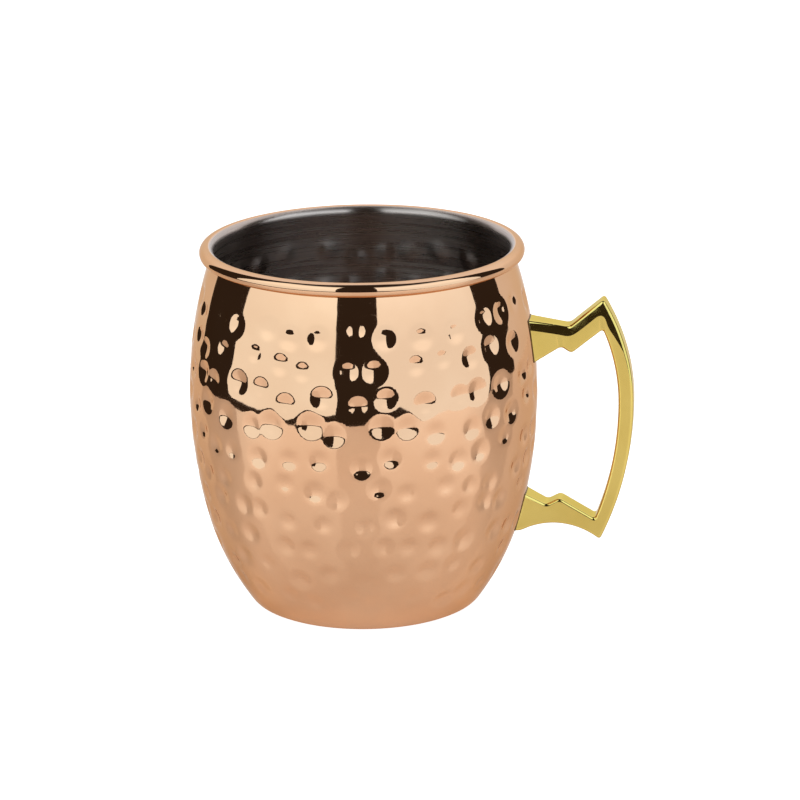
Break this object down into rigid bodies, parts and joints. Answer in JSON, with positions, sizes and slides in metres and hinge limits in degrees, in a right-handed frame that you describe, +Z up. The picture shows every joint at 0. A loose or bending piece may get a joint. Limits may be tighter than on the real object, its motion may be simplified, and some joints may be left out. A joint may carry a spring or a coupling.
{
  "type": "copper mug",
  "caption": "Barrel-shaped metal drinking mug with a hammered copper shell, rolled rim, steel lining and an angular brass handle.",
  "frame": {"origin": "centre of the ring that the mug stands on", "axes": "+Z up along the mug's axis, +X towards the handle"},
  "size_m": [0.1214, 0.095, 0.1],
  "materials": {
    "copper": "polished, hammered",
    "steel": "brushed round the axis",
    "brass": "polished",
    "braze": "as brazed"
  },
  "bodies": {
    "root": {"outer_shell": "copper", "inner_liner": "steel", "handle": "brass", "upper_braze": "braze", "lower_braze": "braze"}
  },
  "joints": []
}
